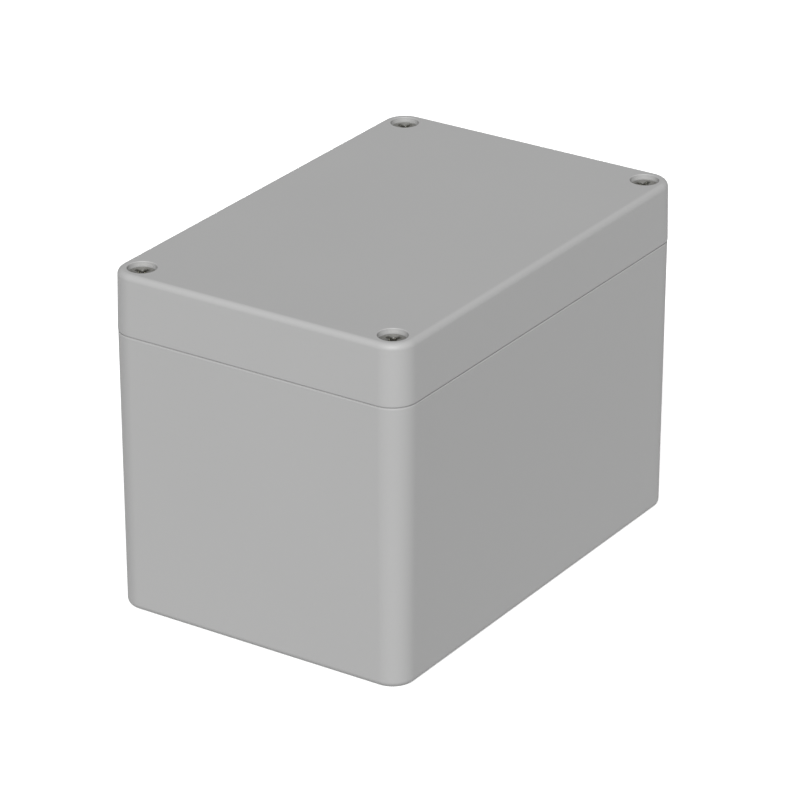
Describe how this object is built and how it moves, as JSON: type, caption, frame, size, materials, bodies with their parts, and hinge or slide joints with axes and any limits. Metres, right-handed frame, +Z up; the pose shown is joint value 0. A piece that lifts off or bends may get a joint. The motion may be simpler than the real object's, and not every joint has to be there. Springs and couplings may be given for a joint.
{
  "type": "polycarbonate enclosure",
  "caption": "Rectangular deep plastic box with a shallow screwed lid, sealed rim and corner holes for wall mounting, for housing circuits.",
  "frame": {"origin": "under the middle of the flat bottom face, where the box rests", "axes": "+X along the long side, +Y across the box, +Z up through the lid"},
  "size_m": [0.12, 0.08, 0.085],
  "materials": {
    "housing_grey": "fine matt light grey moulded polycarbonate",
    "seal_rubber": "soft matt black cellular rubber",
    "screw_steel": "turned stainless steel",
    "insert_brass": "turned and knurled brass",
    "washer_nylon": "natural nylon, slightly translucent"
  },
  "bodies": {
    "base": {"base": "housing_grey", "thread_insert_front_left": "insert_brass", "thread_insert_front_right": "insert_brass", "thread_insert_back_right": "insert_brass", "thread_insert_back_left": "insert_brass"},
    "lid": {"lid": "housing_grey", "gasket": "seal_rubber"},
    "washer_front_left": {"retaining_washer_front_left": "washer_nylon"},
    "screw_front_left": {"lid_screw_front_left": "screw_steel"},
    "washer_front_right": {"retaining_washer_front_right": "washer_nylon"},
    "screw_front_right": {"lid_screw_front_right": "screw_steel"},
    "washer_back_right": {"retaining_washer_back_right": "washer_nylon"},
    "screw_back_right": {"lid_screw_back_right": "screw_steel"},
    "washer_back_left": {"retaining_washer_back_left": "washer_nylon"},
    "screw_back_left": {"lid_screw_back_left": "screw_steel"}
  },
  "joints": [
    {"name": "lid_lift", "type": "slide", "parent": "base", "child": "lid", "axis": [0, 0, 1], "range_m": [0, 0.06]},
    {"name": "screw_rise_front_left", "type": "slide", "parent": "lid", "child": "washer_front_left", "axis": [0, 0, 1], "range_m": [0, 0.007]},
    {"name": "screw_turn_front_left", "type": "hinge", "parent": "washer_front_left", "child": "screw_front_left", "pos_m": [-0.054, -0.034, 0.0838], "axis": [0, 0, 1], "range_deg": [0, 3600]},
    {"name": "screw_rise_front_right", "type": "slide", "parent": "lid", "child": "washer_front_right", "axis": [0, 0, 1], "range_m": [0, 0.007]},
    {"name": "screw_turn_front_right", "type": "hinge", "parent": "washer_front_right", "child": "screw_front_right", "pos_m": [0.054, -0.034, 0.0838], "axis": [0, 0, 1], "range_deg": [0, 3600]},
    {"name": "screw_rise_back_right", "type": "slide", "parent": "lid", "child": "washer_back_right", "axis": [0, 0, 1], "range_m": [0, 0.007]},
    {"name": "screw_turn_back_right", "type": "hinge", "parent": "washer_back_right", "child": "screw_back_right", "pos_m": [0.054, 0.034, 0.0838], "axis": [0, 0, 1], "range_deg": [0, 3600]},
    {"name": "screw_rise_back_left", "type": "slide", "parent": "lid", "child": "washer_back_left", "axis": [0, 0, 1], "range_m": [0, 0.007]},
    {"name": "screw_turn_back_left", "type": "hinge", "parent": "washer_back_left", "child": "screw_back_left", "pos_m": [-0.054, 0.034, 0.0838], "axis": [0, 0, 1], "range_deg": [0, 3600]}
  ],
  "couplings": [
    {"joint": "screw_turn_front_left", "follows": "screw_rise_front_left", "rad_per_m": 8976},
    {"joint": "screw_turn_front_right", "follows": "screw_rise_front_right", "rad_per_m": 8976},
    {"joint": "screw_turn_back_right", "follows": "screw_rise_back_right", "rad_per_m": 8976},
    {"joint": "screw_turn_back_left", "follows": "screw_rise_back_left", "rad_per_m": 8976}
  ]
}
